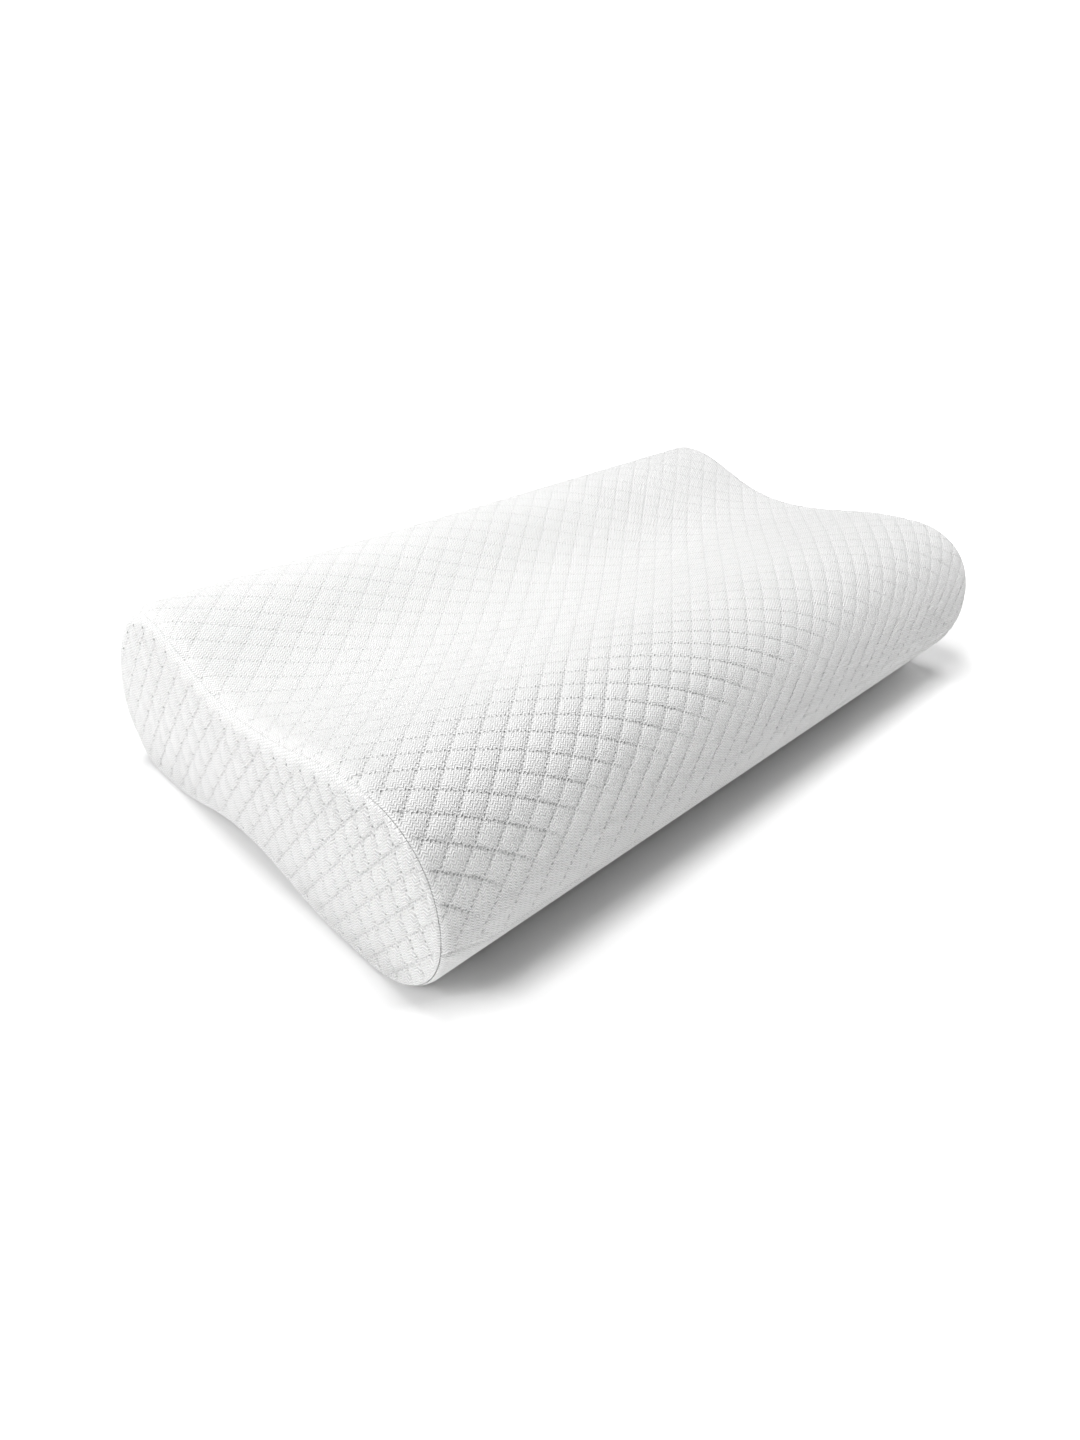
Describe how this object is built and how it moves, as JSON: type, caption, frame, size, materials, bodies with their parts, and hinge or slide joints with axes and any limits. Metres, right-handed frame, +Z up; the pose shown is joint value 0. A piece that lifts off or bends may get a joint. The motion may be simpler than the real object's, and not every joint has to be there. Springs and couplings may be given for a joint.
{
  "type": "contour memory foam pillow",
  "caption": "Contour memory foam pillow with a low and a high lobe and a dip between them, in a diamond-quilted knit cover with a plain underside.",
  "frame": {"origin": "on the surface that the pillow lies on, under the middle of its length and depth", "axes": "+X along the pillow's length, +Y from the low lobe to the high lobe, +Z up"},
  "size_m": [0.5, 0.3258, 0.1259],
  "materials": {
    "quilted_knit": "matt white knit, quilted in diamonds",
    "plain_knit": "matt white plain knit"
  },
  "bodies": {
    "root": {"filled_body": "quilted_knit", "end_panel_left": "quilted_knit", "end_panel_right": "quilted_knit", "underside_panel": "plain_knit"}
  },
  "joints": []
}
